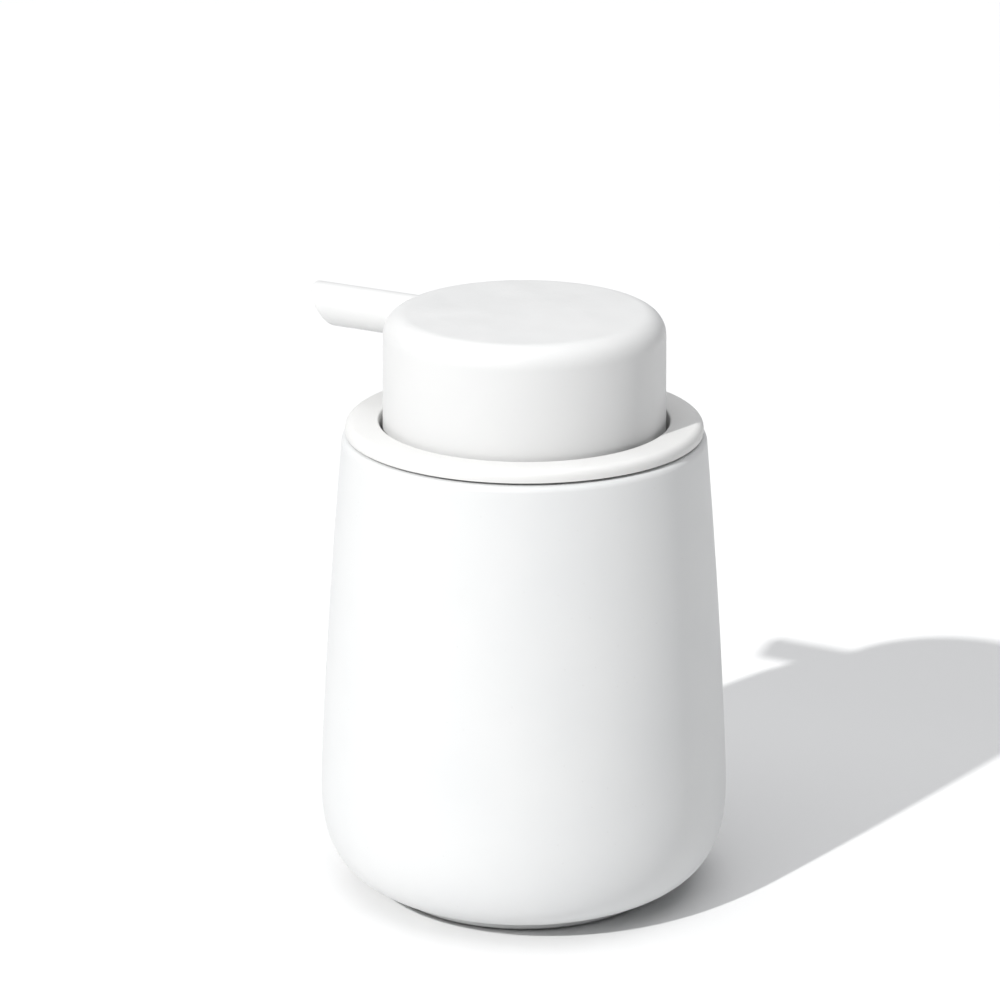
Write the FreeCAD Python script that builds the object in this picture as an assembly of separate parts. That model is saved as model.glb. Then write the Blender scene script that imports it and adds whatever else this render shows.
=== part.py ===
import FreeCAD, Part
import math
import os

# Soap pump dispenser, in millimetres.
# Frame: origin on the vessel's axis in the plane it stands on, +Z up, spout towards -X.

V = FreeCAD.Vector
UP = V(0, 0, 1)
SPOUTWARD = V(-1, 0, 0)

# ---- small edges of the moulded pieces ----
fine_round = 0.2
edge_round = 0.3
soft_round = 0.4
root_round = 0.8

# ---- driving sizes: the pump cap and what it drops into ----
cap_radius = 27.37          # at the skirt's lower edge
cap_draft = 0.24            # the top is this much smaller in radius
cap_edge_round = 4.4        # soft edge round the flat top
cap_rise = 21.3             # flat top above the collar's deck
cap_wall = 2.0
cap_ceiling = 1.8
cap_skirt_overlap = 3.9     # skirt hidden below the deck at rest
cap_inner_round = 2.6
cap_skirt_round = 0.6
cap_rib_spaces = 6          # evenly spaced, the rib over the spout's arm left out
cap_rib_thickness = 1.0
cap_rib_depth = 2.6
stroke = 10.0               # how far the cap goes down

# ---- driving sizes: vessel ----
vessel_height = 92.6        # top of the rim
vessel_wall = 4.45          # at the rim
vessel_floor = 5.0          # height of the inside floor
rim_round = 1.35
rim_lean = 0.0887           # outward slope of the wall just under the rim
rim_pull_share = 0.55       # how full the rim's rounding is
belly_swell = 4.52          # belly radius over rim radius
belly_height = 28.16
belly_lean = 0.0483         # outward slope still left at the belly
heel_drop = 13.84           # how far the belly's line runs on down before it turns in
heel_reach = 23.62          # how far the underside's line runs out before it turns up
heel_flat_radius = 18.19
underside_height = 0.62
inner_heel_drop = 13.5
inner_heel_reach = 18.5
inner_flat_radius = 16.0
mouth_chamfer = 0.5

# ---- driving sizes: foot ----
foot_radius = 27.9
foot_ring_width = 2.1
foot_lift = 0.4             # the ceramic foot ring stays this far off the table
foot_round = 0.3
pad_thickness = 1.7
pad_gap = 0.3               # pad to foot ring
pad_groove_width = 1.0
pad_groove_depth = 0.3
pad_groove_radii = (12.0, 16.0, 20.0)

# ---- driving sizes: collar, gasket and neck ----
cap_gap = 0.75              # cap to well, all round
sleeve_wall = 1.74
gasket_space = 1.0          # sleeve to mouth bore
collar_setback = 0.71       # collar's edge inside the vessel's widest rim line
deck_thickness = 2.3
deck_edge_round = 1.5
deck_hole_round = 0.4
deck_lower_round = 0.15
seam_height = 0.5           # dark line between vessel and collar
seam_setback = 1.2          # gasket flange inside the collar's edge
well_floor_thickness = 2.0
well_clearance = 2.5        # under the cap's skirt when pressed
gasket_depth = 10.0
gasket_web = 0.5
gasket_lip_height = 1.6
gasket_lip_count = 3
gasket_lip_start = 0.5      # shares of a lip's height between which its edge lies
gasket_lip_end = 0.7
gasket_groove_depth = 0.5
gasket_groove_height = 2.0
gasket_groove_below_rim = 4.0
neck_outer = 12.0
neck_wall = 2.4

# ---- driving sizes: pump ----
closure_wall = 2.25
closure_top = 1.6
closure_foot_gap = 0.6
closure_edge_round = 1.2
washer_thickness = 0.6
flange_setback = 0.4        # pump flange inside the neck's outside
flange_thickness = 1.2
barrel_radius = 5.5
barrel_wall = 1.1
tail_wall = 1.2
tail_socket_depth = 8.5
vent_radius = 0.6
guide_flange_thickness = 1.0
guide_flange_radius = 10.0
guide_sleeve_wall = 1.55
guide_rise = 1.6            # guide sleeve above the closure
guide_depth = 5.8           # guide inside the barrel
piston_height = 5.9
piston_lip = 1.0
piston_waist = 0.85
piston_lip_round = 0.15
rod_radius = 2.2
rod_bore = 1.2
rod_seat_bore = 0.9
rod_shoulder_thickness = 1.2
rod_shoulder_gap = 0.6
rod_tail = 6.0
rod_reach_in_stem = 6.0
wire_radius = 0.4
spring_mean_radius = 4.2
spring_turns = 7.5
spring_steps_per_turn = 16
wire_sides = 8
spring_spare = 2.3          # left over the solid length when pressed
cage_thickness = 1.5
cage_upstand = 0.8
cage_upstand_radius = 3.4
cage_hole_radius = 0.75
cage_hole_ring = 1.85
cage_hole_count = 3
cage_pin_radius = 0.9
cage_pin_length = 1.2
inlet_ball_radius = 2.0
inlet_ball_lift = 1.5
inlet_bore = 1.3
inlet_chamber_gap = 0.7
inlet_seat_thickness = 1.2
outlet_ball_radius = 1.5
outlet_ball_lift = 1.2
dip_tube_radius = 2.5
dip_tube_wall = 0.8
dip_tube_floor_gap = 2.5
dip_tube_cut_deg = 30.0

# ---- driving sizes: stem, elbow and spout ----
stem_radius = 3.4
stem_bore = 1.2
stem_in_core = 4.1
core_radius = 5.4
core_below_arm = 1.9
core_channel = 1.25
arm_radius = 3.7
arm_end_gap = 3.2           # arm's end inside the cap's wall
cap_boss_wall = 1.5
cap_boss_depth = 4.7
spout_radius = 4.19
spout_reach = 44.55         # axis to the middle of the tip
spout_bore = 2.8
spout_bore_stop = 2.0       # bore ends this far outside the cap
spout_slant_deg = 30.0      # the tip's top overhangs its bottom
spout_flush_drop = 0.05     # top of the tube under the top of the cap
spigot_radius = 2.6
spigot_drop = 1.35          # spigot's axis under the tube's axis
spigot_end = 12.0           # spigot's inner end from the axis
o_ring_section = 0.42
o_ring_at = 17.0            # from the axis
o_ring_groove_spare = 0.1

# ---- clearances ----
running_gap = 0.05          # turning and sliding fits
press_gap = 0.02            # pieces that are pushed together and stay
seat_gap = 0.02             # flat faces that rest on each other
lip_gap = 0.06              # gasket lip to mouth bore
loose_gap = 0.25            # screwed and dropped-in pieces
stop_gap = 0.1              # end stops
ball_gap = 0.03             # ball to seat
head_gap = 1.5              # elbow to guide when pressed
thrust_gap = 0.05           # stem to piston
overcut = 1.0               # how far a cutting tool runs past the piece

# ---- radii that follow ----
well_radius = cap_radius + cap_gap
sleeve_radius = well_radius + sleeve_wall
mouth_radius = sleeve_radius + gasket_space
rim_radius = mouth_radius + vessel_wall
belly_radius = rim_radius + belly_swell
collar_radius = rim_radius - collar_setback
flange_radius = neck_outer - flange_setback
guide_bore = stem_radius + running_gap
guide_sleeve_radius = guide_bore + guide_sleeve_wall
stem_counterbore = rod_radius + running_gap
tail_socket = dip_tube_radius + press_gap
tail_radius = tail_socket + tail_wall
inlet_chamber = inlet_ball_radius + inlet_chamber_gap
cap_inner_low = cap_radius - cap_wall
cap_inner_top = cap_radius - cap_draft - cap_wall

# ---- heights that follow, from the rim up ----
seam_top_z = vessel_height + seam_height
deck_z = seam_top_z + deck_thickness
cap_top_z = deck_z + cap_rise
ceiling_z = cap_top_z - cap_ceiling
skirt_z = deck_z - cap_skirt_overlap
spout_z = cap_top_z - spout_radius - spout_flush_drop
spigot_z = spout_z - spigot_drop
core_bottom_z = spigot_z - arm_radius - core_below_arm
stem_top_z = core_bottom_z + stem_in_core

# ---- heights that follow, from the elbow down ----
guide_top_z = core_bottom_z - stroke - head_gap
closure_top_z = guide_top_z - guide_rise
guide_flange_z = closure_top_z - closure_top
flange_top_z = guide_flange_z - guide_flange_thickness
flange_bottom_z = flange_top_z - flange_thickness
neck_top_z = flange_bottom_z - washer_thickness
well_floor_z = skirt_z - stroke - well_clearance
sleeve_bottom_z = well_floor_z - well_floor_thickness
piston_stop_z = flange_top_z - guide_depth
piston_top_z = piston_stop_z - stop_gap
piston_bottom_z = piston_top_z - piston_height
shoulder_bottom_z = piston_bottom_z - rod_shoulder_thickness
stem_bottom_z = piston_top_z + thrust_gap
rod_seat_z = stem_bottom_z + rod_reach_in_stem
spring_rest_length = 2 * wire_radius * spring_turns + stroke + spring_spare
cage_top_z = shoulder_bottom_z - spring_rest_length
barrel_floor_z = cage_top_z - cage_thickness
inlet_cone = inlet_chamber - inlet_bore
cage_pin_z = barrel_floor_z - cage_pin_length
inlet_ball_z = cage_pin_z - stop_gap - inlet_ball_lift - inlet_ball_radius
inlet_seat_z = inlet_ball_z - (inlet_ball_radius + ball_gap) * math.sqrt(2) + inlet_bore
socket_top_z = inlet_seat_z - inlet_seat_thickness
tail_bottom_z = socket_top_z - tail_socket_depth
dip_tube_bottom_z = vessel_floor + dip_tube_floor_gap
outlet_ball_z = rod_seat_z + (outlet_ball_radius + ball_gap) * math.sqrt(2) - outlet_ball_radius


def line(a, b):
    """Straight edge between two (radius, height) points."""
    return Part.makeLine(V(a[0], 0, a[1]), V(b[0], 0, b[1]))


def bezier(*poles):
    """Bezier edge through (radius, height) poles."""
    curve = Part.BezierCurve()
    curve.setPoles([V(r, 0, z) for r, z in poles])
    return curve.toShape()


def outline(corners):
    """Closed edges through (radius, height, rounding) corners; the rounding may be left out."""
    edges = []
    legs = []
    count = len(corners)
    for i, corner in enumerate(corners):
        here = V(corner[0], 0, corner[1])
        before = V(corners[i - 1][0], 0, corners[i - 1][1])
        after = V(corners[(i + 1) % count][0], 0, corners[(i + 1) % count][1])
        rounding = corner[2] if len(corner) > 2 else 0.0
        if rounding == 0.0:
            legs.append((here, here))
            continue
        back = (before - here).normalize()
        ahead = (after - here).normalize()
        half = back.getAngle(ahead) / 2
        start = here + back * (rounding / math.tan(half))
        end = here + ahead * (rounding / math.tan(half))
        inward = (back + ahead).normalize()
        middle = here + inward * (rounding / math.sin(half) - rounding)
        edges.append(Part.Arc(start, middle, end).toShape())
        legs.append((start, end))
    for i in range(count):
        start = legs[i][1]
        end = legs[(i + 1) % count][0]
        if start.distanceToPoint(end) > 1e-6:
            edges.append(Part.makeLine(start, end))
    return edges


def revolve(edges):
    """Solid of revolution about Z from the closed edges of a half section."""
    wire = Part.Wire(Part.__sortEdges__(edges))
    return Part.Face(wire).revolve(V(0, 0, 0), UP, 360)


def turned(corners):
    """Solid of revolution about Z from rounded corners."""
    return revolve(outline(corners))


def rod_along_spout(radius, start, end, height):
    """Round bar along the spout's direction between two distances from the axis."""
    return Part.makeCylinder(radius, end - start, V(-start, 0, height), SPOUTWARD)


def vessel():
    """Ceramic bottle: leaning wall, swelling belly, soft heel, foot ring, straight mouth bore."""
    shoulder_z = vessel_height - rim_round
    pull = (shoulder_z - belly_height) / 3
    rim_pull = rim_round * rim_pull_share
    bore_end_z = vessel_height - gasket_depth - gasket_lip_height
    inner_belly = belly_radius - vessel_wall
    inner_pull = (bore_end_z - belly_height) / 3
    rim_inner = rim_radius - rim_round
    outer_wall = bezier(
        (rim_radius, shoulder_z),
        (rim_radius + rim_lean * pull, shoulder_z - pull),
        (belly_radius - belly_lean * pull, belly_height + pull),
        (belly_radius, belly_height),
    )
    heel = bezier(
        (belly_radius, belly_height),
        (belly_radius + belly_lean * heel_drop, belly_height - heel_drop),
        (heel_flat_radius + heel_reach, underside_height),
        (heel_flat_radius, underside_height),
    )
    rim = bezier(
        (rim_inner, vessel_height),
        (rim_inner + rim_pull, vessel_height),
        (rim_radius - rim_lean * rim_pull, shoulder_z + rim_pull),
        (rim_radius, shoulder_z),
    )
    inner_wall = bezier(
        (mouth_radius, bore_end_z),
        (mouth_radius, bore_end_z - inner_pull),
        (inner_belly - belly_lean * inner_pull, belly_height + inner_pull),
        (inner_belly, belly_height),
    )
    inner_heel = bezier(
        (inner_belly, belly_height),
        (inner_belly + belly_lean * inner_heel_drop, belly_height - inner_heel_drop),
        (inner_flat_radius + inner_heel_reach, vessel_floor),
        (inner_flat_radius, vessel_floor),
    )
    body = revolve([
        rim,
        outer_wall,
        heel,
        line((heel_flat_radius, underside_height), (0, underside_height)),
        line((0, underside_height), (0, vessel_floor)),
        line((0, vessel_floor), (inner_flat_radius, vessel_floor)),
        inner_heel,
        inner_wall,
        line((mouth_radius, bore_end_z), (mouth_radius, vessel_height - mouth_chamfer)),
        line((mouth_radius, vessel_height - mouth_chamfer), (mouth_radius + mouth_chamfer, vessel_height)),
        line((mouth_radius + mouth_chamfer, vessel_height), (rim_inner, vessel_height)),
    ])
    ring_inner = foot_radius - foot_ring_width
    buried_z = underside_height + foot_ring_width
    foot_ring = turned([
        (ring_inner, buried_z),
        (ring_inner, foot_lift, foot_round),
        (foot_radius, foot_lift, foot_round),
        (foot_radius, buried_z),
    ])
    recess = Part.makeCylinder(ring_inner, pad_thickness, V(0, 0, 0))
    return body.fuse(foot_ring).cut(recess).removeSplitter()


def foot_pad():
    """Silicone disc in the foot ring, a little proud of it, with rings cut in its underside."""
    radius = foot_radius - foot_ring_width - pad_gap
    pad = turned([
        (0, pad_thickness),
        (0, 0),
        (radius, 0, foot_round),
        (radius, pad_thickness),
    ])
    for ring in pad_groove_radii:
        pad = pad.cut(turned([
            (ring - pad_groove_width / 2, -pad_groove_depth),
            (ring + pad_groove_width / 2, -pad_groove_depth),
            (ring + pad_groove_width / 2, pad_groove_depth),
            (ring - pad_groove_width / 2, pad_groove_depth),
        ]))
    return pad


def gasket_groove():
    """Upper and lower height of the groove in the sleeve that holds the gasket."""
    top = vessel_height - gasket_groove_below_rim
    return top, top - gasket_groove_height


def collar():
    """Deck ring, well wall, well floor and the neck that carries the pump."""
    groove_top, groove_bottom = gasket_groove()
    groove_radius = sleeve_radius - gasket_groove_depth
    neck_inner = neck_outer - neck_wall
    return turned([
        (well_radius, deck_z, deck_hole_round),
        (collar_radius, deck_z, deck_edge_round),
        (collar_radius, seam_top_z, deck_lower_round),
        (sleeve_radius, seam_top_z),
        (sleeve_radius, groove_top),
        (groove_radius, groove_top),
        (groove_radius, groove_bottom),
        (sleeve_radius, groove_bottom),
        (sleeve_radius, sleeve_bottom_z, root_round),
        (neck_inner, sleeve_bottom_z, soft_round),
        (neck_inner, neck_top_z, fine_round),
        (neck_outer, neck_top_z, soft_round),
        (neck_outer, well_floor_z, soft_round),
        (well_radius, well_floor_z, root_round),
    ])


def collar_gasket():
    """Silicone sleeve: a thin flange on the rim, a bead in the collar's groove and soft lips."""
    groove_top, groove_bottom = gasket_groove()
    inner = sleeve_radius + press_gap
    web = inner + gasket_web
    lip = mouth_radius - lip_gap
    bead = sleeve_radius - gasket_groove_depth + press_gap
    bottom_z = vessel_height - gasket_depth
    flange_edge = collar_radius - seam_setback
    pitch = (gasket_depth - mouth_chamfer - gasket_lip_height) / gasket_lip_count
    corners = [
        (inner, seam_top_z - seat_gap),
        (flange_edge, seam_top_z - seat_gap),
        (flange_edge, vessel_height + seat_gap),
        (web, vessel_height + seat_gap),
    ]
    for i in range(gasket_lip_count):
        top = vessel_height - mouth_chamfer - gasket_lip_height / 2 - i * pitch
        corners.append((web, top))
        corners.append((lip, top - gasket_lip_height * gasket_lip_start))
        corners.append((lip, top - gasket_lip_height * gasket_lip_end))
        corners.append((web, top - gasket_lip_height))
    corners += [
        (web, bottom_z),
        (inner, bottom_z),
        (inner, groove_bottom + press_gap),
        (bead, groove_bottom + press_gap),
        (bead, groove_top - press_gap),
        (inner, groove_top - press_gap),
    ]
    return turned(corners)


def pump_closure():
    """Screw ring over the neck, with a hole in its top for the stem guide."""
    inner = neck_outer + loose_gap
    outer = inner + closure_wall
    hole = guide_sleeve_radius + loose_gap
    return turned([
        (hole, closure_top_z, fine_round),
        (outer, closure_top_z, closure_edge_round),
        (outer, well_floor_z + closure_foot_gap, edge_round),
        (inner, well_floor_z + closure_foot_gap, fine_round),
        (inner, guide_flange_z),
        (hole, guide_flange_z),
    ])


def closure_washer():
    """Flat washer between the neck and the pump's flange."""
    return turned([
        (barrel_radius + barrel_wall + loose_gap, neck_top_z),
        (flange_radius, neck_top_z),
        (flange_radius, flange_bottom_z),
        (barrel_radius + barrel_wall + loose_gap, flange_bottom_z),
    ])


def pump_cylinder():
    """Barrel with its top flange, inlet seat, tube socket and a vent that the piston covers."""
    outer = barrel_radius + barrel_wall
    taper = outer - tail_radius
    vent_z = piston_bottom_z + piston_height / 2
    body = turned([
        (barrel_radius, flange_top_z),
        (flange_radius, flange_top_z, fine_round),
        (flange_radius, flange_bottom_z, fine_round),
        (outer, flange_bottom_z, fine_round),
        (outer, barrel_floor_z - barrel_wall, root_round),
        (tail_radius, barrel_floor_z - barrel_wall - taper, root_round),
        (tail_radius, tail_bottom_z, edge_round),
        (tail_socket, tail_bottom_z, fine_round),
        (tail_socket, socket_top_z),
        (inlet_bore, socket_top_z),
        (inlet_bore, inlet_seat_z),
        (inlet_chamber, inlet_seat_z + inlet_cone),
        (inlet_chamber, barrel_floor_z),
        (barrel_radius, barrel_floor_z),
    ])
    vent_start = V(barrel_radius - barrel_wall / 2, 0, vent_z)
    vent = Part.makeCylinder(vent_radius, 2 * barrel_wall, vent_start, V(1, 0, 0))
    return body.cut(vent)


def stem_guide():
    """Guide in the top of the barrel: it carries the stem and stops the piston."""
    return turned([
        (guide_bore, guide_top_z, fine_round),
        (guide_sleeve_radius, guide_top_z, edge_round),
        (guide_sleeve_radius, guide_flange_z),
        (guide_flange_radius, guide_flange_z),
        (guide_flange_radius, flange_top_z),
        (barrel_radius - running_gap, flange_top_z),
        (barrel_radius - running_gap, piston_stop_z, fine_round),
        (guide_bore, piston_stop_z, fine_round),
    ])


def ball_cage():
    """Disc on the barrel's floor with flow holes, a pin over the inlet ball and a spring seat."""
    cage = turned([
        (0, cage_top_z + cage_upstand),
        (cage_upstand_radius, cage_top_z + cage_upstand, edge_round),
        (cage_upstand_radius, cage_top_z),
        (barrel_radius - running_gap, cage_top_z),
        (barrel_radius - running_gap, barrel_floor_z),
        (cage_pin_radius, barrel_floor_z),
        (cage_pin_radius, cage_pin_z, fine_round),
        (0, cage_pin_z),
    ])
    hole_length = cage_thickness + cage_upstand + 2 * overcut
    for i in range(cage_hole_count):
        turn = 2 * math.pi * i / cage_hole_count
        foot = V(cage_hole_ring * math.cos(turn), cage_hole_ring * math.sin(turn), barrel_floor_z - overcut)
        cage = cage.cut(Part.makeCylinder(cage_hole_radius, hole_length, foot))
    return cage


def inlet_ball():
    """Steel ball on the inlet seat."""
    return Part.makeSphere(inlet_ball_radius, V(0, 0, inlet_ball_z))


def dip_tube():
    """Suction tube from the socket to just over the vessel's floor, cut on a slant."""
    tube = turned([
        (dip_tube_radius - dip_tube_wall, socket_top_z),
        (dip_tube_radius, socket_top_z),
        (dip_tube_radius, dip_tube_bottom_z),
        (dip_tube_radius - dip_tube_wall, dip_tube_bottom_z),
    ])
    size = 4 * dip_tube_radius
    wedge = Part.makeBox(size, size, size, V(0, -size / 2, -size))
    wedge.rotate(V(0, 0, 0), V(0, 1, 0), -dip_tube_cut_deg)
    wedge.translate(V(-dip_tube_radius, 0, dip_tube_bottom_z))
    return tube.cut(wedge)


def return_spring():
    """Compression spring between the rod's shoulder and the ball cage, as a faceted coil."""
    bottom = cage_top_z + wire_radius + running_gap
    length = spring_rest_length - 2 * wire_radius - 2 * running_gap
    rings = int(round(spring_turns * spring_steps_per_turn))
    points = []
    for i in range(rings + 1):
        turn = 2 * math.pi * spring_turns * i / rings
        for j in range(wire_sides):
            around = 2 * math.pi * j / wire_sides
            radius = spring_mean_radius + wire_radius * math.cos(around)
            height = bottom + length * i / rings + wire_radius * math.sin(around)
            points.append(V(radius * math.cos(turn), radius * math.sin(turn), height))
    triangles = []
    for i in range(rings):
        for j in range(wire_sides):
            low = i * wire_sides + j
            low_next = i * wire_sides + (j + 1) % wire_sides
            high = low + wire_sides
            high_next = low_next + wire_sides
            triangles.append((low, high, low_next))
            triangles.append((low_next, high, high_next))
    last = rings * wire_sides
    for j in range(1, wire_sides - 1):
        triangles.append((0, j, j + 1))
        triangles.append((last, last + j + 1, last + j))
    shell = Part.Shape()
    shell.makeShapeFromMesh((points, triangles), 0.001)
    spring = Part.Solid(shell.Shells[0])
    if spring.Volume < 0:
        spring.reverse()
    return spring


def piston_rod():
    """Hollow rod: tail inside the spring, shoulder under the piston, outlet seat in its top."""
    return turned([
        (rod_bore, shoulder_bottom_z - rod_tail),
        (rod_radius, shoulder_bottom_z - rod_tail, fine_round),
        (rod_radius, shoulder_bottom_z),
        (barrel_radius - rod_shoulder_gap, shoulder_bottom_z, fine_round),
        (barrel_radius - rod_shoulder_gap, piston_bottom_z),
        (rod_radius, piston_bottom_z),
        (rod_radius, rod_seat_z),
        (outlet_ball_radius, rod_seat_z),
        (rod_seat_bore, rod_seat_z - (outlet_ball_radius - rod_seat_bore)),
        (rod_seat_bore, rod_seat_z - outlet_ball_radius),
        (rod_bore, rod_seat_z - outlet_ball_radius - (rod_bore - rod_seat_bore)),
    ])


def piston():
    """Soft piston with a wiping lip at each end."""
    lip = barrel_radius - running_gap
    waist = lip - piston_waist
    inner = rod_radius + press_gap
    return turned([
        (inner, piston_bottom_z),
        (lip, piston_bottom_z, piston_lip_round),
        (lip, piston_bottom_z + piston_lip),
        (waist, piston_bottom_z + piston_lip + piston_waist),
        (waist, piston_top_z - piston_lip - piston_waist),
        (lip, piston_top_z - piston_lip),
        (lip, piston_top_z, piston_lip_round),
        (inner, piston_top_z),
    ])


def outlet_ball():
    """Steel ball on the seat in the top of the piston rod."""
    return Part.makeSphere(outlet_ball_radius, V(0, 0, outlet_ball_z))


def stem():
    """Hollow stem: turns on the piston rod, holds the outlet ball, pushed into the elbow."""
    stop = math.sqrt(outlet_ball_radius ** 2 - stem_bore ** 2)
    chamber_top_z = outlet_ball_z + outlet_ball_lift + stop + stop_gap
    return turned([
        (stem_counterbore, stem_bottom_z, fine_round),
        (stem_radius, stem_bottom_z, fine_round),
        (stem_radius, stem_top_z, edge_round),
        (stem_bore, stem_top_z),
        (stem_bore, chamber_top_z),
        (stem_counterbore, chamber_top_z),
    ])


def head_core():
    """Elbow under the cap: socket for the stem, arm with a socket for the spout's spigot."""
    top_z = ceiling_z - running_gap
    arm_end = cap_inner_top - arm_end_gap
    body = turned([
        (0, top_z),
        (core_radius, top_z),
        (core_radius, core_bottom_z, soft_round),
        (0, core_bottom_z),
    ])
    body = body.fuse(rod_along_spout(arm_radius, 0, arm_end, spigot_z)).removeSplitter()
    socket_depth = stem_in_core + stop_gap
    body = body.cut(Part.makeCylinder(stem_radius + press_gap, socket_depth, V(0, 0, core_bottom_z)))
    body = body.cut(Part.makeCylinder(core_channel, spigot_z - core_bottom_z, V(0, 0, core_bottom_z)))
    body = body.cut(rod_along_spout(core_channel, 0, arm_end, spigot_z))
    socket_start = spigot_end - stop_gap
    return body.cut(rod_along_spout(spigot_radius + press_gap, socket_start, arm_end + overcut, spigot_z))


def cap_envelope():
    """The cap's outside as one solid."""
    return turned([
        (0, cap_top_z),
        (cap_radius - cap_draft, cap_top_z, cap_edge_round),
        (cap_radius, skirt_z),
        (0, skirt_z),
    ])


def pump_cap():
    """Hollow button: thin wall, boss that grips the elbow, ribs, hole for the spigot."""
    shell = turned([
        (0, cap_top_z),
        (cap_radius - cap_draft, cap_top_z, cap_edge_round),
        (cap_radius, skirt_z, cap_skirt_round),
        (cap_inner_low, skirt_z, soft_round),
        (cap_inner_top, ceiling_z, cap_inner_round),
        (0, ceiling_z),
    ])
    root_z = ceiling_z + cap_ceiling / 2
    boss_inner = core_radius + press_gap
    boss_outer = boss_inner + cap_boss_wall
    boss = turned([
        (boss_inner, root_z),
        (boss_outer, root_z),
        (boss_outer, ceiling_z - cap_boss_depth, edge_round),
        (boss_inner, ceiling_z - cap_boss_depth, edge_round),
    ])
    ribs = []
    rib_end = cap_inner_top + cap_wall / 2
    rib_start = boss_outer - cap_boss_wall / 2
    rib_height = cap_rib_depth + root_z - ceiling_z
    corner = V(rib_start, -cap_rib_thickness / 2, ceiling_z - cap_rib_depth)
    for i in range(1, cap_rib_spaces):
        rib = Part.makeBox(rib_end - rib_start, cap_rib_thickness, rib_height, corner)
        rib.rotate(V(0, 0, 0), UP, 180 + 360.0 / cap_rib_spaces * i)
        ribs.append(rib)
    inside = boss.fuse(ribs)
    inside = inside.cut(rod_along_spout(arm_radius + press_gap, 0, cap_radius, spigot_z))
    slot_width = 2 * (arm_radius + press_gap)
    slot_corner = V(-cap_radius, -slot_width / 2, spigot_z - cap_rise)
    inside = inside.cut(Part.makeBox(cap_radius, slot_width, cap_rise, slot_corner))
    inside = inside.common(cap_envelope())
    body = shell.fuse(inside).removeSplitter()
    hole_start = cap_inner_top - cap_wall
    return body.cut(rod_along_spout(spigot_radius + press_gap, hole_start, cap_radius + cap_wall, spigot_z))


def spout():
    """Tube fitted to the cap's side, slanted tip, and the spigot that goes into the elbow."""
    slant = math.radians(spout_slant_deg)
    overhang = spout_radius * math.tan(slant)
    root = cap_inner_top - cap_wall - cap_edge_round
    tube = rod_along_spout(spout_radius, root, spout_reach + overhang, spout_z)
    size = 6 * spout_radius
    trim = Part.makeBox(size, size, size, V(-size, -size / 2, -size / 2))
    trim.rotate(V(0, 0, 0), V(0, 1, 0), spout_slant_deg)
    trim.translate(V(-spout_reach, 0, spout_z))
    tube = tube.cut(trim).cut(cap_envelope())
    bore_start = cap_radius + spout_bore_stop
    spigot = rod_along_spout(spigot_radius, spigot_end, bore_start, spigot_z)
    body = tube.fuse(spigot).removeSplitter()
    body = body.cut(rod_along_spout(core_channel, spigot_end - overcut, bore_start + overcut, spigot_z))
    body = body.cut(rod_along_spout(spout_bore, bore_start, spout_reach + 2 * overhang, spout_z))
    groove_half = o_ring_section + o_ring_groove_spare
    groove_start = o_ring_at - groove_half
    groove_end = o_ring_at + groove_half
    groove = rod_along_spout(spigot_radius + overcut, groove_start, groove_end, spigot_z)
    core = rod_along_spout(o_ring_groove_radius(), groove_start - overcut, groove_end + overcut, spigot_z)
    return body.cut(groove.cut(core))


def o_ring_groove_radius():
    """Radius at the bottom of the O-ring's groove."""
    return spigot_radius - 2 * o_ring_section


def spout_o_ring():
    """O-ring that seals the spigot in the elbow."""
    radius = o_ring_groove_radius() + o_ring_section + press_gap / 2
    return Part.makeTorus(radius, o_ring_section, V(-o_ring_at, 0, spigot_z), SPOUTWARD)


PIECES = {
    "vessel": vessel,
    "foot_pad": foot_pad,
    "collar": collar,
    "collar_gasket": collar_gasket,
    "pump_closure": pump_closure,
    "closure_washer": closure_washer,
    "pump_cylinder": pump_cylinder,
    "stem_guide": stem_guide,
    "ball_cage": ball_cage,
    "inlet_ball": inlet_ball,
    "dip_tube": dip_tube,
    "return_spring": return_spring,
    "piston_rod": piston_rod,
    "piston": piston,
    "outlet_ball": outlet_ball,
    "stem": stem,
    "head_core": head_core,
    "pump_cap": pump_cap,
    "spout": spout,
    "spout_o_ring": spout_o_ring,
}

os.makedirs("parts", exist_ok=True)
for name, make in PIECES.items():
    make().exportStep(f"parts/{name}.step")
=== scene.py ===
"""Looks of the soap pump dispenser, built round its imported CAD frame.

Every length is in metres, in the CAD frame: Z up, origin on the vessel's axis in the plane it
stands on, spout towards -X.
"""
import logging
import math
from dataclasses import dataclass
from enum import Enum
from functools import cache

import bmesh
import bpy
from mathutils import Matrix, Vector


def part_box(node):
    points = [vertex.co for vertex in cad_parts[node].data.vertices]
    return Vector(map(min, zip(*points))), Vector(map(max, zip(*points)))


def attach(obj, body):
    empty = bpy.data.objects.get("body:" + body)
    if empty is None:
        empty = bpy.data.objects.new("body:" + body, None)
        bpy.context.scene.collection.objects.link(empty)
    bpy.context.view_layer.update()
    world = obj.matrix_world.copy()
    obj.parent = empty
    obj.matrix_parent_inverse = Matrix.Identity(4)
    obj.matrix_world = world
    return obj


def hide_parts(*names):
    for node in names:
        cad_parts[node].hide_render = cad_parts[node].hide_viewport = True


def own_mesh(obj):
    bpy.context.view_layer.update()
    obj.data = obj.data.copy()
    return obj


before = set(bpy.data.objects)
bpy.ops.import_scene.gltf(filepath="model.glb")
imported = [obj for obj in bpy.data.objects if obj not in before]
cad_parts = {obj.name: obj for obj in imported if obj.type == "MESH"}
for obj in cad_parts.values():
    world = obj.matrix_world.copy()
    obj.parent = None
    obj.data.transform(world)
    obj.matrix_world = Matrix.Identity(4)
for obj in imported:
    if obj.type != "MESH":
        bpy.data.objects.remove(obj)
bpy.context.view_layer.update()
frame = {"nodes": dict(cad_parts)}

MM = 0.001
LOG = logging.getLogger("soap_dispenser")
Point = tuple[float, float]
Colour = tuple[float, float, float]
Socket = bpy.types.NodeSocket
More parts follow.
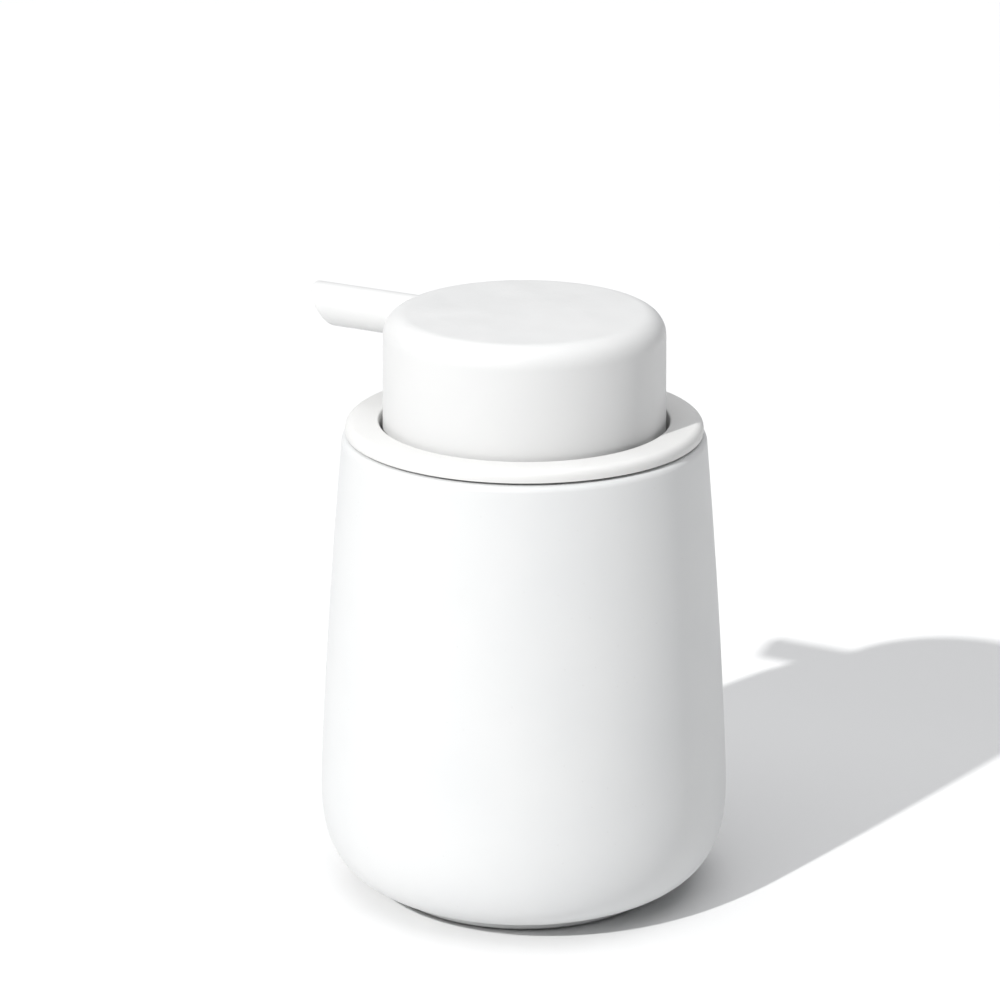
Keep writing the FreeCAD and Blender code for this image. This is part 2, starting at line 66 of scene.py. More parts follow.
Mesh = bpy.types.Mesh
Piece = bpy.types.Object

# Edge roundings that several pieces share.
LIP_ROUND = 0.1 * MM
FINE_ROUND = 0.2 * MM
EDGE_ROUND = 0.3 * MM
SOFT_ROUND = 0.4 * MM
ROOT_ROUND = 0.8 * MM

SAME_POINT = 0.5e-6      # points of a turned mesh closer than this are one
CAD_SAME_POINT = 1e-6    # the same for a CAD mesh
FLAT_DEG = 0.2           # faces of a CAD mesh that meet flatter than this are one
BALL_SHARP_DEG = 60.0    # keeps balls and O-rings free of crisp edges
WIRE_FLATS = 14          # flats round the spring's wire
RIB_FLATS = 10           # flats round one grip rib


class Body(Enum):
    """Rigid bodies of the dispenser, by their names in the frame."""

    VESSEL = "vessel"
    PUMP_UNIT = "pump_unit"
    PLUNGER = "plunger"
    HEAD = "head"
    INLET_VALVE = "inlet_valve"
    OUTLET_VALVE = "outlet_valve"


class Slot(Enum):
    """Material slots of the record."""

    CERAMIC = "vessel_ceramic"
    FOOT = "foot_silicone"
    COLLAR = "collar_plastic"
    GASKET = "gasket_silicone"
    PUMP = "pump_plastic"
    WASHER = "washer_foam"
    BARREL = "barrel_plastic"
    TUBE = "tube_plastic"
    PISTON = "piston_plastic"
    SPRING = "spring_steel"
    BALL = "ball_steel"
    O_RING = "o_ring_rubber"
    CAP = "cap_plastic"


# ---- finishes


@dataclass(frozen=True)
class Pattern:
    """Procedural noise, or round cells, in the object's own coordinates."""

    size: float
    detail: float = 2.0
    rough: float = 0.5
    stretch: tuple[float, float, float] | None = None
    cellular: bool = False


@dataclass(frozen=True)
class Ramp:
    """A pattern whose values from start to end are spread from low to high."""

    pattern: Pattern
    low: float = 0.0
    high: float = 1.0
    start: float = 0.0
    end: float = 1.0


class Shader:
    """A Principled material under construction."""

    def __init__(self, name: str) -> None:
        """Starts an empty material.

        Args:
            name: The material's name.
        """
        self.material = bpy.data.materials.new(name)
        self.material.use_nodes = True
        self.tree = self.material.node_tree
        self.tree.nodes.clear()
        self.principled = self.tree.nodes.new("ShaderNodeBsdfPrincipled")
        output = self.tree.nodes.new("ShaderNodeOutputMaterial")
        self.tree.links.new(self.principled.outputs["BSDF"], output.inputs["Surface"])
        self.place = self.tree.nodes.new("ShaderNodeTexCoord").outputs["Object"]

    def link(self, output: Socket, socket: str) -> None:
        """Joins an output to one of the Principled node's sockets."""
        self.tree.links.new(output, self.principled.inputs[socket])

    def texture(self, pattern: Pattern) -> Socket:
        """Makes a pattern's nodes.

        Args:
            pattern: The pattern.

        Returns:
            The noise's factor, or the distance from a cell's middle.
        """
        place = self.place
        if pattern.stretch:
            mapping = self.tree.nodes.new("ShaderNodeMapping")
            mapping.inputs["Scale"].default_value = pattern.stretch
            self.tree.links.new(place, mapping.inputs["Vector"])
            place = mapping.outputs["Vector"]
        kind = "Voronoi" if pattern.cellular else "Noise"
        node = self.tree.nodes.new("ShaderNodeTex" + kind)
        node.inputs["Scale"].default_value = 1.0 / pattern.size
        self.tree.links.new(place, node.inputs["Vector"])
        if pattern.cellular:
            return node.outputs["Distance"]
        node.inputs["Detail"].default_value = pattern.detail
        node.inputs["Roughness"].default_value = pattern.rough
        return node.outputs["Fac"]

    def spread(self, ramp: Ramp) -> Socket:
        """Makes a ramp's nodes.

        Args:
            ramp: The ramp.

        Returns:
            The mapped value, clamped.
        """
        node = self.tree.nodes.new("ShaderNodeMapRange")
        for index, value in enumerate((ramp.start, ramp.end, ramp.low, ramp.high), 1):
            node.inputs[index].default_value = value
        self.tree.links.new(self.texture(ramp.pattern), node.inputs["Value"])
        return node.outputs["Result"]

    def blend(self, factor: Socket, first: Colour | Socket, second: Colour) -> Socket:
        """Mixes two colours.

        Args:
            factor: 0 gives the first colour, 1 the second.
            first: A colour, or another blend's result.
            second: A colour.

        Returns:
            The mixed colour.
        """
        node = self.tree.nodes.new("ShaderNodeMix")
        node.data_type = "RGBA"
        self.tree.links.new(factor, node.inputs[0])
        if isinstance(first, tuple):
            node.inputs[6].default_value = (*first, 1.0)
        else:
            self.tree.links.new(first, node.inputs[6])
        node.inputs[7].default_value = (*second, 1.0)
        return node.outputs[2]

    def relief(self, layers: tuple[tuple[Pattern, float], ...]) -> None:
        """Adds bump layers, one on the other.

        Args:
            layers: Pairs of a height pattern and its full depth in metres.
        """
        normal = None
        for pattern, depth in layers:
            node = self.tree.nodes.new("ShaderNodeBump")
            node.inputs["Strength"].default_value = 1.0
            node.inputs["Distance"].default_value = depth
            self.tree.links.new(self.texture(pattern), node.inputs["Height"])
            if normal is not None:
                self.tree.links.new(normal, node.inputs["Normal"])
            normal = node.outputs["Normal"]
        if normal is not None:
            self.link(normal, "Normal")


@dataclass(frozen=True)
class Finish:
    """A surface: its colour and tints, its uneven gloss and its fine relief."""

    name: str
    colour: Colour
    tints: tuple[tuple[Ramp, Colour], ...]
    gloss: Ramp | None = None
    relief: tuple[tuple[Pattern, float], ...] = ()
    settings: tuple[tuple[str, float], ...] = ()

    @cache
    def material(self) -> bpy.types.Material:
        """The finished material, made once."""
        shader = Shader(self.name)
        tone = self.colour
        for ramp, tint in self.tints:
            tone = shader.blend(shader.spread(ramp), tone, tint)
        shader.link(tone, "Base Color")
        if self.gloss:
            shader.link(shader.spread(self.gloss), "Roughness")
        shader.relief(self.relief)
        for socket, value in self.settings:
            shader.principled.inputs[socket].default_value = value
        return shader.material


SOFT_SHINE = (("Specular IOR Level", 0.45),)
METAL = (("Metallic", 1.0),)


def moulded(name: str, colour: Colour, shade: Colour, roughness: float,
            smudge: float = 0.07) -> Finish:
    """White moulded plastic with a fine spark-eroded grain and handling marks.

    Args:
        name: The material's name.
        colour: Main colour.
        shade: Colour of the flow marks.
        roughness: Mean roughness.
        smudge: How far handling moves the roughness.

    Returns:
        The finish.
    """
    flow = Pattern(16 * MM, 3.0, 0.6)
    grain = Pattern(0.16 * MM, cellular=True)
    smudges = Pattern(7 * MM, 5.0, 0.6)
    depth = 0.010 * MM
    return Finish(
        name, colour, ((Ramp(flow, start=0.35, end=0.7), shade),),
        Ramp(smudges, roughness - smudge, roughness + smudge, 0.3, 0.7),
        ((grain, depth), (flow, depth)), SOFT_SHINE,
    )


def rubbery(name: str, colour: Colour, dust: Colour, roughness: float = 0.62) -> Finish:
    """Soft silicone or rubber: dull, with fine dust and a tacky skin.

    Args:
        name: The material's name.
        colour: Main colour.
        dust: Colour of the dust.
        roughness: Mean roughness.

    Returns:
        The finish.
    """
    dusting = Pattern(0.5 * MM, 4.0, 0.7)
    skin = Pattern(1.2 * MM, 3.0)
    uneven = 0.1
    return Finish(
        name, colour, ((Ramp(dusting, 0.0, 0.5, 0.56, 0.75), dust),),
        Ramp(skin, roughness - uneven, roughness + uneven), ((skin, 0.02 * MM),),
    )


def milky(name: str, colour: Colour, shade: Colour, clearness: float,
          roughness: float = 0.28) -> Finish:
    """Unfilled plastic that light passes through, with faint flow streaks along Z.

    Args:
        name: The material's name.
        colour: Main colour.
        shade: Colour of the streaks.
        clearness: Share of light that passes through.
        roughness: Mean roughness.

    Returns:
        The finish.
    """
    width = 1.1 * MM
    length = 30 * MM
    streaks = Pattern(width, 3.0, stretch=(1.0, 1.0, width / length))
    uneven = 0.08
    return Finish(
        name, colour, ((Ramp(streaks), shade),),
        Ramp(streaks, roughness - uneven, roughness + uneven), ((streaks, 0.004 * MM),), (("Transmission Weight", clearness), ("IOR", 1.49)),
    )


CAP_WHITE = moulded("cap_matt_white", (0.735, 0.735, 0.732), (0.723, 0.725, 0.723), 0.5)
COLLAR_WHITE = moulded("collar_matt_white", (0.77, 0.767, 0.757), (0.757, 0.754, 0.745), 0.5)
PUMP_WHITE = moulded("pump_satin_white", (0.76, 0.76, 0.745), (0.73, 0.73, 0.71), 0.32, 0.06)
PISTON_WAX = moulded("piston_natural", (0.70, 0.72, 0.71), (0.64, 0.66, 0.66), 0.4)
# Black silicone gasket: a real seal, and also painted shade, since its black flange sits in the seam
# under the collar to darken the shadow line there.
GASKET_BLACK_AND_SEAM_SHADE = rubbery("gasket_black_silicone_seam_shade", (0.018, 0.018, 0.019), (0.06, 0.06, 0.06))
FOOT_GREY = rubbery("foot_grey_silicone", (0.34, 0.34, 0.335), (0.45, 0.45, 0.44))
O_RING_BLACK = rubbery("o_ring_rubber", (0.012, 0.012, 0.013), (0.04, 0.04, 0.04), 0.45)
BARREL_MILKY = milky("barrel_milky", (0.80, 0.805, 0.80), (0.77, 0.78, 0.775), 0.35)
TUBE_CLEAR = milky("dip_tube_clear", (0.87, 0.89, 0.89), (0.84, 0.86, 0.86), 0.7, 0.2)

CLOUDS = Pattern(22 * MM, 3.0)
PINHOLES = Pattern(2.6 * MM, cellular=True)
MATT_GLAZE = Finish(
    "matt_white_glaze", (0.745, 0.75, 0.75),
    (
        (Ramp(CLOUDS, start=0.35, end=0.7), (0.725, 0.732, 0.735)),
        (Ramp(PINHOLES, 0.35, 0.0, 0.03, 0.07), (0.60, 0.595, 0.58)),
    ),
    Ramp(Pattern(CLOUDS.size / 3, 4.0), 0.46, 0.58),
    ((Pattern(3.5 * MM), 0.012 * MM), (Pattern(0.22 * MM, 3.0), 0.006 * MM)), SOFT_SHINE,
)

RIPPLE = Pattern(6 * MM)
INNER_GLAZE = Finish(
    "inner_gloss_glaze", (0.78, 0.78, 0.76),
    ((Ramp(RIPPLE, start=0.4, end=0.7), (0.70, 0.71, 0.69)),),
    Ramp(RIPPLE, 0.12, 0.2), ((RIPPLE, 0.04 * MM),),
)

CLAY_GRAIN = Pattern(0.3 * MM, 5.0, 0.65)
BARE_STONEWARE = Finish(
    "bare_stoneware", (0.62, 0.60, 0.57),
    ((Ramp(CLAY_GRAIN, start=0.4, end=0.7), (0.50, 0.48, 0.45)),),
    Ramp(CLAY_GRAIN, 0.8, 0.95), ((CLAY_GRAIN, 0.05 * MM),),
)

DULL_PATCHES = Pattern(1.6 * MM, 4.0)
DRAW_LINES = Pattern(0.12 * MM, stretch=(0.15, 0.15, 1.0))
SPRING_STEEL = Finish(
    "drawn_spring_steel", (0.56, 0.57, 0.58),
    ((Ramp(DULL_PATCHES, start=0.4, end=0.7), (0.40, 0.41, 0.42)),),
    Ramp(DULL_PATCHES, 0.22, 0.42), ((DRAW_LINES, 0.006 * MM),), METAL,
)

HAZE = Pattern(1.0 * MM, 4.0)
SCRATCHES = Pattern(0.06 * MM, 1.0, stretch=(1.0, 0.1, 1.0))
BALL_STEEL = Finish(
    "polished_ball_steel", (0.62, 0.63, 0.64), ((Ramp(HAZE), (0.52, 0.53, 0.55)),),
    Ramp(HAZE, 0.06, 0.16), ((SCRATCHES, 0.001 * MM),), METAL,
)

FOAM_CELLS = Pattern(0.25 * MM, cellular=True)
FOAM_SHEET = Finish(
    "closed_cell_foam", (0.72, 0.72, 0.69),
    ((Ramp(FOAM_CELLS, 1.0, 0.0, 0.1, 0.5), (0.50, 0.50, 0.47)),),
    Ramp(FOAM_CELLS, 0.75, 0.95), ((FOAM_CELLS, 0.05 * MM),),
)

STUDIO_PAPER = Finish(
    "pale_floor", (0.87, 0.87, 0.87), ((Ramp(Pattern(400 * MM)), (0.86, 0.86, 0.86)),),
    settings=(("Roughness", 0.9), ("Specular IOR Level", 0.15)),
)


# ---- outlines of turned pieces


def curve_on(points: list[Point], lead: Point, trail: Point, end: Point, steps: int) -> None:
    """Carries an outline on from its last point along a cubic curve.

    Args:
        points: The outline so far, as radius and height.
        lead: Handle of the last point so far.
        trail: Handle of the new last point.
        end: The new last point.
        steps: How many points are added.
    """
    start = points[-1]
    for i in range(1, steps + 1):
        t = i / steps
        s = 1.0 - t
        weights = (s * s * s, 3 * s * s * t, 3 * s * t * t, t * t * t)
        poles = (start, lead, trail, end)
        points.append(tuple(sum(w * p[k] for w, p in zip(weights, poles)) for k in (0, 1)))


def rounded(corners: list[tuple[float, ...]], steps: int = 7) -> list[Point]:
    """Closed outline through corners, each one softened by its own rounding.

    Args:
        corners: Radius, height and, where the corner is soft, its rounding.
        steps: Segments in each rounding.

    Returns:
        The outline's points, the first repeated at the end.
    """
    points = []
    count = len(corners)
    for i, corner in enumerate(corners):
        here = Vector(corner[:2])
        rounding = corner[2] if len(corner) > 2 else 0.0
        back = (Vector(corners[i - 1][:2]) - here).normalized()
        ahead = (Vector(corners[(i + 1) % count][:2]) - here).normalized()
        if rounding == 0.0:
            points.append(tuple(here))
            continue
        half = back.angle(ahead) / 2
        reach = rounding / math.tan(half)
        centre = here + (back + ahead).normalized() * (rounding / math.sin(half))
        first = here + back * reach - centre
        last = here + ahead * reach - centre
        sweep = first.angle_signed(last)
        for k in range(steps + 1):
            turn = -sweep * k / steps
            cosine = math.cos(turn)
            sine = math.sin(turn)
            spoke = Vector((first.x * cosine - first.y * sine, first.x * sine + first.y * cosine))
            points.append(tuple(centre + spoke))
    points.append(points[0])
    return points


# ---- geometry node trees


class NodeTree:
    """A Geometry Nodes tree under construction, with named inputs for its sizes."""

    def __init__(self, name: str) -> None:
        """Starts a tree with a Geometry input and output and a Finish input.

        Args:
            name: The tree's name.
        """
        self.group = bpy.data.node_groups.new(name, "GeometryNodeTree")
        self.interface = self.group.interface
        self.interface.new_socket("Geometry", in_out="INPUT", socket_type="NodeSocketGeometry")
        self.interface.new_socket("Finish", in_out="INPUT", socket_type="NodeSocketMaterial")
        self.interface.new_socket("Geometry", in_out="OUTPUT", socket_type="NodeSocketGeometry")
        self.inputs = self.group.nodes.new("NodeGroupInput")
        self.outputs = self.group.nodes.new("NodeGroupOutput")

    def sizes(self, *names: str, kind: str = "NodeSocketFloat") -> list[Socket]:
        """Adds named inputs.

        Args:
            *names: The inputs' names.
            kind: Their socket type.

        Returns:
            The inputs inside the tree.
        """
        for name in names:
            self.interface.new_socket(name, in_out="INPUT", socket_type=kind)
        return [self.inputs.outputs[name] for name in names]

    def add(self, kind: str, inputs: dict | None = None, **settings: object) -> bpy.types.Node:
        """Adds a node.

        Args:
            kind: Node type; a geometry node's goes without its first word.
            inputs: Input name or number to a value or to another node's output.
            **settings: The node's own properties.

        Returns:
            The node.
        """
        family = "" if kind.startswith("ShaderNode") else "GeometryNode"
        node = self.group.nodes.new(family + kind)
        for key, value in settings.items():
            setattr(node, key, value)
        for key, value in (inputs or {}).items():
            if isinstance(value, Socket):
                self.group.links.new(value, node.inputs[key])
            else:
                node.inputs[key].default_value = value
        return node

    def math(self, operation: str, first: object, second: object = 0.0) -> Socket:
        """One sum on numbers.

        Args:
            operation: The Math node's operation.
            first: A number or an output.
            second: A number or an output.

        Returns:
            The result.
        """
        return self.add("ShaderNodeMath", {0: first, 1: second}, operation=operation).outputs[0]

    def point(self, x: object, y: object, z: object) -> Socket:
        """A vector of three numbers or outputs."""
        return self.add("ShaderNodeCombineXYZ", {0: x, 1: y, 2: z}).outputs[0]

    def span(self, low: Socket, high: Socket) -> tuple[Socket, Socket]:
        """Length and middle of the stretch from low to high."""
        length = self.math("SUBTRACT", high, low)
        return length, self.math("ADD", low, self.math("MULTIPLY", length, 0.5))

    def close(self, geometry: Socket, keep_input: bool = False) -> bpy.types.NodeTree:
        """Ends the tree in Realize Instances and Set Material.

        Args:
            geometry: What the tree has made.
            keep_input: Whether the mesh that came in stays beside it.

        Returns:
            The finished tree.
        """
        if keep_input:
            both = self.add("JoinGeometry")
            self.group.links.new(geometry, both.inputs[0])
            self.group.links.new(self.inputs.outputs["Geometry"], both.inputs[0])
            geometry = both.outputs[0]
        real = self.add("RealizeInstances", {"Geometry": geometry})
        finish = self.inputs.outputs["Finish"]
        dressed = self.add("SetMaterial", {"Geometry": real.outputs[0], "Material": finish})
        self.group.links.new(dressed.outputs[0], self.outputs.inputs["Geometry"])
        return self.group


def add_object(name: str, data: bpy.types.ID) -> Piece:
    """Puts a new object in the scene, at the origin.

    Args:
        name: Its name.
        data: Its mesh, light or camera.

    Returns:
        The object.
    """
    made = bpy.data.objects.new(name, data)
    bpy.context.scene.collection.objects.link(made)
    return made


def bake(name: str, mesh: Mesh, tree: bpy.types.NodeTree, finish: Finish,
         **sizes: float) -> Piece:
    """Runs a tree on a mesh and keeps the result as a plain mesh.

    Args:
        name: The finished piece's name.
        mesh: The mesh that the tree starts from.
        tree: The Geometry Nodes tree.
        finish: The piece's finish.
        **sizes: The tree's sizes, with underscores for spaces.

    Returns:
        The finished object, with no modifier left.
    """
    piece = add_object(name, mesh)
    modifier = piece.modifiers.new("build", "NODES")
    modifier.node_group = tree
    named = {i.name: i.identifier for i in tree.interface.items_tree if i.in_out == "INPUT"}
    modifier[named["Finish"]] = finish.material()
    for key, value in sizes.items():
        modifier[named[key.replace("_", " ")]] = value
    bpy.context.view_layer.update()
    evaluated = piece.evaluated_get(bpy.context.evaluated_depsgraph_get())
    made = bpy.data.meshes.new_from_object(evaluated)
    piece.modifiers.remove(modifier)
    piece.data = made
    made.name = name
    return piece


def turning_tree() -> bpy.types.NodeTree:
    """Tree that turns a half-section outline round Z into a closed surface."""
    tree = NodeTree("turn_round_axis")
    (sides,) = tree.sizes("Sides", kind="NodeSocketInt")
    (weld,) = tree.sizes("Weld")
    outline = tree.inputs.outputs["Geometry"]
    counted = tree.add("AttributeDomainSize", {"Geometry": outline}, component="MESH")
    count = counted.outputs["Point Count"]
    rows = tree.math("ADD", sides, 1.0)
    grid = tree.add(
        "MeshGrid", {"Size X": 1.0, "Size Y": 1.0, "Vertices X": count, "Vertices Y": rows}
    )
    place = tree.add("ShaderNodeSeparateXYZ", {0: tree.add("InputPosition").outputs[0]})
    share = tree.math("ADD", place.outputs[0], 0.5)
    last = tree.math("SUBTRACT", count, 1.0)
    index = tree.math("ROUND", tree.math("MULTIPLY", share, last))
    angle = tree.math("MULTIPLY", tree.math("ADD", place.outputs[1], 0.5), 2 * math.pi)
    sample = tree.add(
        "SampleIndex",
        {"Geometry": outline, "Value": tree.add("InputPosition").outputs[0], "Index": index},
        data_type="FLOAT_VECTOR",
    )
    section = tree.add("ShaderNodeSeparateXYZ", {0: sample.outputs[0]})
    x = tree.math("MULTIPLY", section.outputs[0], tree.math("COSINE", angle))
    y = tree.math("MULTIPLY", section.outputs[0], tree.math("SINE", angle))
    spot = tree.point(x, y, section.outputs[2])
    turned = tree.add("SetPosition", {"Geometry": grid.outputs["Mesh"], "Position": spot})
    welded = tree.add("MergeByDistance", {"Geometry": turned.outputs[0], "Distance": weld})
    return tree.close(welded.outputs[0])


def coil_tree() -> bpy.types.NodeTree:
    """Tree that winds a compression spring with closed ends along Z."""
    tree = NodeTree("wind_spring")
    wire, mean, turns, closed, length, foot = tree.sizes(
        "Wire Radius", "Coil Radius", "Turns", "Closed Turns", "Length", "Foot"
    )
    (steps,) = tree.sizes("Steps", kind="NodeSocketInt")
    line = tree.add("CurvePrimitiveLine", {"End": (0.0, 0.0, 1.0)})
    path = tree.add("ResampleCurve", {"Curve": line.outputs[0], "Count": steps})
    share = tree.add("SplineParameter").outputs["Factor"]
    wound = tree.math("MULTIPLY", share, turns)
    angle = tree.math("MULTIPLY", wound, 2 * math.pi)
    closed_rise = tree.math("MULTIPLY", closed, tree.math("MULTIPLY", wire, 2.0))
    free_rise = tree.math("SUBTRACT", length, tree.math("MULTIPLY", closed_rise, 2.0))
    free_turns = tree.math("SUBTRACT", turns, tree.math("MULTIPLY", closed, 2.0))
    lower = tree.add("ShaderNodeMapRange", {0: wound, 1: 0.0, 2: closed, 3: 0.0, 4: closed_rise})
    free_end = tree.math("ADD", closed, free_turns)
    middle = tree.add(
        "ShaderNodeMapRange", {0: wound, 1: closed, 2: free_end, 3: 0.0, 4: free_rise},
        interpolation_type="SMOOTHSTEP",
    )
    upper = tree.add("ShaderNodeMapRange", {0: wound, 1: free_end, 2: turns, 3: 0.0, 4: closed_rise})
    rise = foot
    for part in (lower, middle, upper):
        rise = tree.math("ADD", rise, part.outputs[0])
    x = tree.math("MULTIPLY", mean, tree.math("COSINE", angle))
    y = tree.math("MULTIPLY", mean, tree.math("SINE", angle))
    spot = tree.point(x, y, rise)
    coil = tree.add("SetPosition", {"Geometry": path.outputs[0], "Position": spot})
    section = tree.add("CurvePrimitiveCircle", {"Resolution": WIRE_FLATS, "Radius": wire})
    swept = tree.add(
        "CurveToMesh",
        {"Curve": coil.outputs[0], "Profile Curve": section.outputs[0], "Fill Caps": True},
    )
    return tree.close(swept.outputs[0])


def grip_tree() -> bpy.types.NodeTree:
    """Tree that sets upright half-round grip ribs round a ring."""
    tree = NodeTree("grip_ribs")
    (count,) = tree.sizes("Ribs", kind="NodeSocketInt")
    radius, rib, low, high = tree.sizes("Ring Radius", "Rib Radius", "Low", "High")
    ring = tree.add("MeshCircle", {"Vertices": count, "Radius": radius})
    height, middle = tree.span(low, high)
    bar = tree.add("MeshCylinder", {"Vertices": RIB_FLATS, "Radius": rib, "Depth": height})
    place = tree.point(0.0, 0.0, middle)
    raised = tree.add("Transform", {"Geometry": bar.outputs["Mesh"], "Translation": place})
    ribs = tree.add("InstanceOnPoints", {"Points": ring.outputs[0], "Instance": raised.outputs[0]})
    return tree.close(ribs.outputs[0], keep_input=True)


def web_tree() -> bpy.types.NodeTree:
    """Tree that adds the thin stiffening webs under the cap's top, none over the spout's arm."""
    tree = NodeTree("cap_webs")
    (count,) = tree.sizes("Webs", kind="NodeSocketInt")
    spacing, inner, outer, thick, low, high = tree.sizes(
        "Spacing", "Inner Radius", "Outer Radius", "Thickness", "Low", "High"
    )
    points = tree.add("MeshLine", {"Count": count, "Offset": (0.0, 0.0, 0.0)})
    length, along = tree.span(inner, outer)
    height, up = tree.span(low, high)
    web = tree.add("MeshCube", {"Size": tree.point(length, thick, height)})
    place = tree.point(along, 0.0, up)
    placed = tree.add("Transform", {"Geometry": web.outputs["Mesh"], "Translation": place})
    half = tree.math("MULTIPLY", tree.math("SUBTRACT", count, 1.0), 0.5)
    step = tree.math("SUBTRACT", tree.add("InputIndex").outputs[0], half)
    turn = tree.point(0.0, 0.0, tree.math("MULTIPLY", step, spacing))
    webs = tree.add(
        "InstanceOnPoints",
        {"Points": points.outputs[0], "Instance": placed.outputs[0], "Rotation": turn},
    )
    return tree.close(webs.outputs[0], keep_input=True)


# ---- pieces


def smooth(mesh: Mesh, sharp_deg: float) -> None:
    """Shades a mesh smooth, apart from edges sharper than an angle.

    Args:
        mesh: The mesh.
        sharp_deg: Angle above which an edge stays crisp, in degrees.
    """
    mesh.shade_smooth()
    mesh.set_sharp_from_angle(angle=math.radians(sharp_deg))


def face_outwards(mesh: Mesh) -> None:
    """Turns a closed mesh's faces to point outwards."""
    work = bmesh.new()
    work.from_mesh(mesh)
    bmesh.ops.recalc_face_normals(work, faces=work.faces)
    work.to_mesh(mesh)
    work.free()


def place(piece: Piece, body: Body, slot: Slot, *nodes: str) -> None:
    """Puts a finished piece on its body, in place of its CAD nodes.

    Args:
        piece: The finished piece.
        body: The body it moves with.
        slot: The record's material slot; not used.
        *nodes: The CAD nodes it stands for.
    """
    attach(piece, body.value)
    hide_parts(*nodes)
    LOG.info("%s: %d faces on %s", piece.name, len(piece.data.polygons), body.value)


class Workshop:
    """What the sub-assemblies share: the CAD nodes and the turning tree."""

    def __init__(self, nodes: dict[str, Piece]) -> None:
        """Builds the turning tree once.

        Args:
            nodes: The frame's CAD nodes by name.
        """
        self.nodes = nodes
        self.turning = turning_tree()

    def turn(self, name: str, outline: list[Point], finish: Finish,
             sides: int = 128, sharp_deg: float = 32.0) -> Piece:
        """Turns a closed outline round Z.

        Args:
            name: The piece's name.
            outline: Closed half section, as radius and height.
            finish: Its finish.
            sides: Flats round the axis.
            sharp_deg: Angle above which an edge stays crisp.

        Returns:
            The piece.
        """
        section = bpy.data.meshes.new(name + "_section")
        links = [(i, i + 1) for i in range(len(outline) - 1)]
        section.from_pydata([(r, 0.0, z) for r, z in outline], links, [])
        piece = bake(name, section, self.turning, finish, Sides=sides, Weld=SAME_POINT)
        face_outwards(piece.data)
        smooth(piece.data, sharp_deg)
        return piece


# ---- sub-assemblies


@dataclass
class SubAssembly:
    """Pieces that are made together."""

    shop: Workshop

    def copy(self, name: str, node: str, finish: Finish, body: Body, slot: Slot,
             sharp_deg: float = 28.0) -> None:
        """Puts a clean, smooth-shaded copy of a CAD node in the node's place.

        Args:
            name: The piece's name.
            node: The CAD node.
            finish: Its finish.
            body: The body it moves with.
            slot: The record's material slot.
            sharp_deg: Angle above which an edge stays crisp.
        """
        mesh = self.shop.nodes[node].data.copy()
        work = bmesh.new()
        work.from_mesh(mesh)
        bmesh.ops.remove_doubles(work, verts=work.verts, dist=CAD_SAME_POINT)
        bmesh.ops.dissolve_limit(
            work, angle_limit=math.radians(FLAT_DEG), verts=work.verts, edges=work.edges,
            delimit={"NORMAL"},
        )
        work.to_mesh(mesh)
        work.free()
        mesh.materials.clear()
        mesh.materials.append(finish.material())
        smooth(mesh, sharp_deg)
        piece = add_object(name, mesh)
        weighted = piece.modifiers.new("weighted_normals", "WEIGHTED_NORMAL")
        weighted.keep_sharp = True
        place(piece, body, slot, node)


